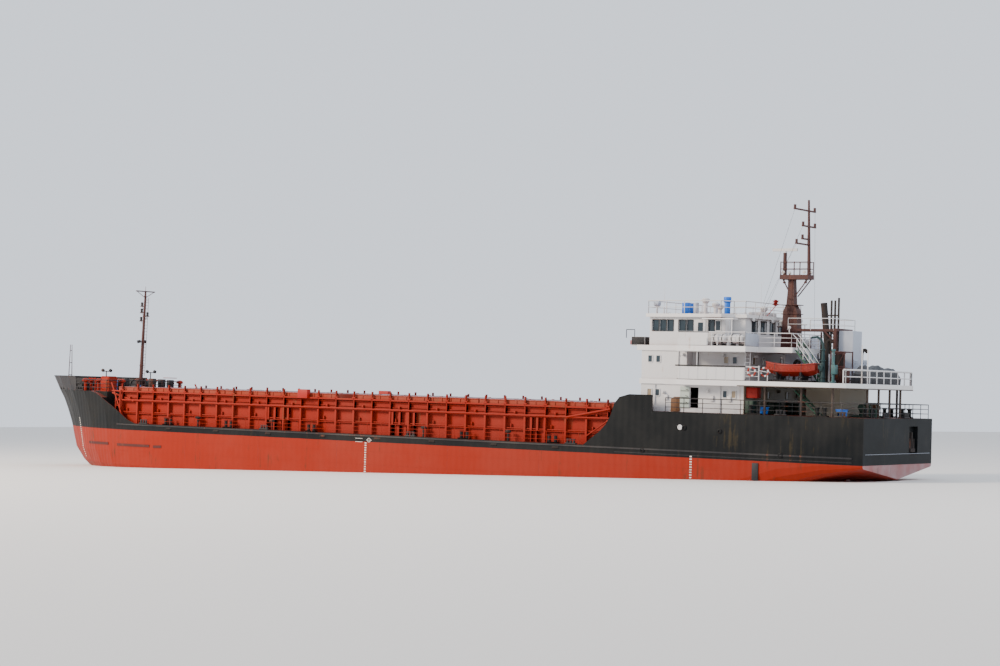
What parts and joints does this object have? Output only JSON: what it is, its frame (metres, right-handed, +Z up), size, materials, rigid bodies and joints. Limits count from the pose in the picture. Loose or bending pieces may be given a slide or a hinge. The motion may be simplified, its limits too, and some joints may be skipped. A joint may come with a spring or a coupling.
{
  "type": "general cargo vessel, 1:10 scale model",
  "caption": "Low river-sea cargo ship with two long holds under folding hatch covers, raised bow and stern, deckhouse and masts aft, twin propellers and rudders.",
  "frame": {"origin": "middle of the flat keel plane, at mid-length on the centreline", "axes": "+X to the bow, +Y to port, +Z up"},
  "size_m": [8.95, 1.34, 2.4462],
  "materials": {
    "hull_black": "satin weathered",
    "rudder_red": "matt",
    "coaming_orange": "satin weathered",
    "house_white": "satin weathered",
    "cover_grey": "matt",
    "mast_brown": "satin",
    "stair_green": "satin",
    "davit_teal": "satin",
    "casing_grey": "satin",
    "gear_black": "matt",
    "tarpaulin": "matt",
    "window_glass": "clear",
    "propeller_bronze": "polished",
    "boat_orange": "gloss"
  },
  "bodies": {
    "ship": {"hull_mid_body": "hull_black", "hull_fore_body": "hull_black", "hull_aft_body": "hull_black", "forecastle_rails": "hull_black", "forecastle_locker": "coaming_orange", "windlass_frame": "gear_black", "foremast_tabernacle": "mast_brown", "bow_light_mast": "hull_black", "forecastle_bulwark": "hull_black", "stern_anchor": "gear_black", "coaming_port": "coaming_orange", "coaming_starboard": "coaming_orange", "coaming_cleats_port": "coaming_orange", "coaming_cleats_starboard": "coaming_orange", "coaming_aft_end": "coaming_orange", "coaming_middle": "coaming_orange", "coaming_fore_end": "coaming_orange", "deckhouse_tier_1": "house_white", "poop_rails": "gear_black", "poop_stair": "stair_green", "mooring_winch_frame": "stair_green", "deckhouse_tier_2": "house_white", "boat_deck_rails": "house_white", "casing_trunk": "house_white", "engine_casing": "casing_grey", "hose_reel": "mast_brown", "bridge_stair": "stair_green", "work_boat": "boat_orange", "boat_cradle": "gear_black", "covered_stores": "tarpaulin", "wheelhouse": "house_white", "wheelhouse_glazing": "window_glass", "bridge_rails": "house_white", "roof_rails": "house_white", "boat_deck": "house_white", "bridge_deck": "house_white", "wheelhouse_roof": "house_white", "exhaust_pipes": "gear_black", "portal_frame": "mast_brown", "main_mast": "mast_brown"},
    "propeller_port": {"propeller_port": "propeller_bronze"},
    "rudder_port": {"rudder_port": "rudder_red"},
    "propeller_starboard": {"propeller_starboard": "propeller_bronze"},
    "rudder_starboard": {"rudder_starboard": "rudder_red"},
    "windlass_drum": {"windlass_drum": "gear_black"},
    "foremast": {"foremast": "mast_brown"},
    "poop_door_port": {"poop_door_port": "stair_green"},
    "mooring_winch_drum": {"mooring_winch_drum": "stair_green"},
    "boat_davit": {"boat_davit": "davit_teal"},
    "wheelhouse_door_port": {"wheelhouse_door_port": "house_white"},
    "wheelhouse_door_starboard": {"wheelhouse_door_starboard": "house_white"},
    "radar_scanner": {"radar_scanner": "house_white"},
    "aft_hatch_fore_end_outer_panel": {"aft_hatch_fore_end_outer_panel": "cover_grey"},
    "aft_hatch_fore_end_inner_panel": {"aft_hatch_fore_end_inner_panel": "cover_grey"},
    "aft_hatch_aft_end_outer_panel": {"aft_hatch_aft_end_outer_panel": "cover_grey"},
    "aft_hatch_aft_end_inner_panel": {"aft_hatch_aft_end_inner_panel": "cover_grey"},
    "fore_hatch_fore_end_outer_panel": {"fore_hatch_fore_end_outer_panel": "cover_grey"},
    "fore_hatch_fore_end_inner_panel": {"fore_hatch_fore_end_inner_panel": "cover_grey"},
    "fore_hatch_aft_end_outer_panel": {"fore_hatch_aft_end_outer_panel": "cover_grey"},
    "fore_hatch_aft_end_inner_panel": {"fore_hatch_aft_end_inner_panel": "cover_grey"}
  },
  "joints": [
    {"name": "propeller_port_turn", "type": "hinge", "parent": "ship", "child": "propeller_port", "pos_m": [-3.96, 0.3, 0.12], "axis": [1, 0, 0], "continuous": true},
    {"name": "propeller_starboard_turn", "type": "hinge", "parent": "ship", "child": "propeller_starboard", "pos_m": [-3.96, -0.3, 0.12], "axis": [1, 0, 0], "continuous": true},
    {"name": "rudder_port_turn", "type": "hinge", "parent": "ship", "child": "rudder_port", "pos_m": [-4.2, 0.3, 0.15], "axis": [0, 0, 1], "range_deg": [-35, 35]},
    {"name": "rudder_starboard_turn", "type": "hinge", "parent": "ship", "child": "rudder_starboard", "pos_m": [-4.2, -0.3, 0.15], "axis": [0, 0, 1], "range_deg": [-35, 35]},
    {"name": "windlass_turn", "type": "hinge", "parent": "ship", "child": "windlass_drum", "pos_m": [3.92, 0, 0.8603], "axis": [0, 1, 0], "continuous": true},
    {"name": "mooring_winch_turn", "type": "hinge", "parent": "ship", "child": "mooring_winch_drum", "pos_m": [-4.23, 0, 0.8603], "axis": [0, 1, 0], "continuous": true},
    {"name": "radar_turn", "type": "hinge", "parent": "ship", "child": "radar_scanner", "pos_m": [-3.495, 0, 2.04], "axis": [0, 0, 1], "continuous": true},
    {"name": "foremast_fold", "type": "hinge", "parent": "ship", "child": "foremast", "pos_m": [3.32, 0, 0.89], "axis": [0, 1, 0], "range_deg": [0, 75]},
    {"name": "davit_slew", "type": "hinge", "parent": "ship", "child": "boat_davit", "pos_m": [-4.095, 0.535, 1.0353], "axis": [0, 0, 1], "range_deg": [0, 110]},
    {"name": "poop_door_swing", "type": "hinge", "parent": "ship", "child": "poop_door_port", "pos_m": [-2.993, 0.5628, 0.9], "axis": [0, 0, 1], "range_deg": [0, 180]},
    {"name": "wheelhouse_door_port_swing", "type": "hinge", "parent": "ship", "child": "wheelhouse_door_port", "pos_m": [-3.033, 0.5528, 1.4], "axis": [0, 0, -1], "range_deg": [0, 110]},
    {"name": "wheelhouse_door_starboard_swing", "type": "hinge", "parent": "ship", "child": "wheelhouse_door_starboard", "pos_m": [-3.033, -0.5528, 1.4], "axis": [0, 0, 1], "range_deg": [0, 110]},
    {"name": "aft_hatch_fore_end_open", "type": "hinge", "parent": "ship", "child": "aft_hatch_fore_end_outer_panel", "pos_m": [0.28, 0, 0.7903], "axis": [0, 1, 0], "range_deg": [0, 80]},
    {"name": "aft_hatch_fore_end_fold", "type": "hinge", "parent": "aft_hatch_fore_end_outer_panel", "child": "aft_hatch_fore_end_inner_panel", "pos_m": [-0.37, 0, 0.7903], "axis": [0, 1, 0], "range_deg": [-160, 0]},
    {"name": "aft_hatch_aft_end_open", "type": "hinge", "parent": "ship", "child": "aft_hatch_aft_end_outer_panel", "pos_m": [-2.32, 0, 0.7903], "axis": [0, -1, 0], "range_deg": [0, 80]},
    {"name": "aft_hatch_aft_end_fold", "type": "hinge", "parent": "aft_hatch_aft_end_outer_panel", "child": "aft_hatch_aft_end_inner_panel", "pos_m": [-1.67, 0, 0.7903], "axis": [0, -1, 0], "range_deg": [-160, 0]},
    {"name": "fore_hatch_fore_end_open", "type": "hinge", "parent": "ship", "child": "fore_hatch_fore_end_outer_panel", "pos_m": [3.06, 0, 0.7903], "axis": [0, 1, 0], "range_deg": [0, 80]},
    {"name": "fore_hatch_fore_end_fold", "type": "hinge", "parent": "fore_hatch_fore_end_outer_panel", "child": "fore_hatch_fore_end_inner_panel", "pos_m": [2.405, 0, 0.7903], "axis": [0, 1, 0], "range_deg": [-160, 0]},
    {"name": "fore_hatch_aft_end_open", "type": "hinge", "parent": "ship", "child": "fore_hatch_aft_end_outer_panel", "pos_m": [0.44, 0, 0.7903], "axis": [0, -1, 0], "range_deg": [0, 80]},
    {"name": "fore_hatch_aft_end_fold", "type": "hinge", "parent": "fore_hatch_aft_end_outer_panel", "child": "fore_hatch_aft_end_inner_panel", "pos_m": [1.095, 0, 0.7903], "axis": [0, -1, 0], "range_deg": [-160, 0]}
  ],
  "couplings": [
    {"joint": "rudder_starboard_turn", "follows": "rudder_port_turn", "ratio": 1},
    {"joint": "aft_hatch_fore_end_fold", "follows": "aft_hatch_fore_end_open", "ratio": -2},
    {"joint": "aft_hatch_aft_end_fold", "follows": "aft_hatch_aft_end_open", "ratio": -2},
    {"joint": "fore_hatch_fore_end_fold", "follows": "fore_hatch_fore_end_open", "ratio": -2},
    {"joint": "fore_hatch_aft_end_fold", "follows": "fore_hatch_aft_end_open", "ratio": -2}
  ]
}
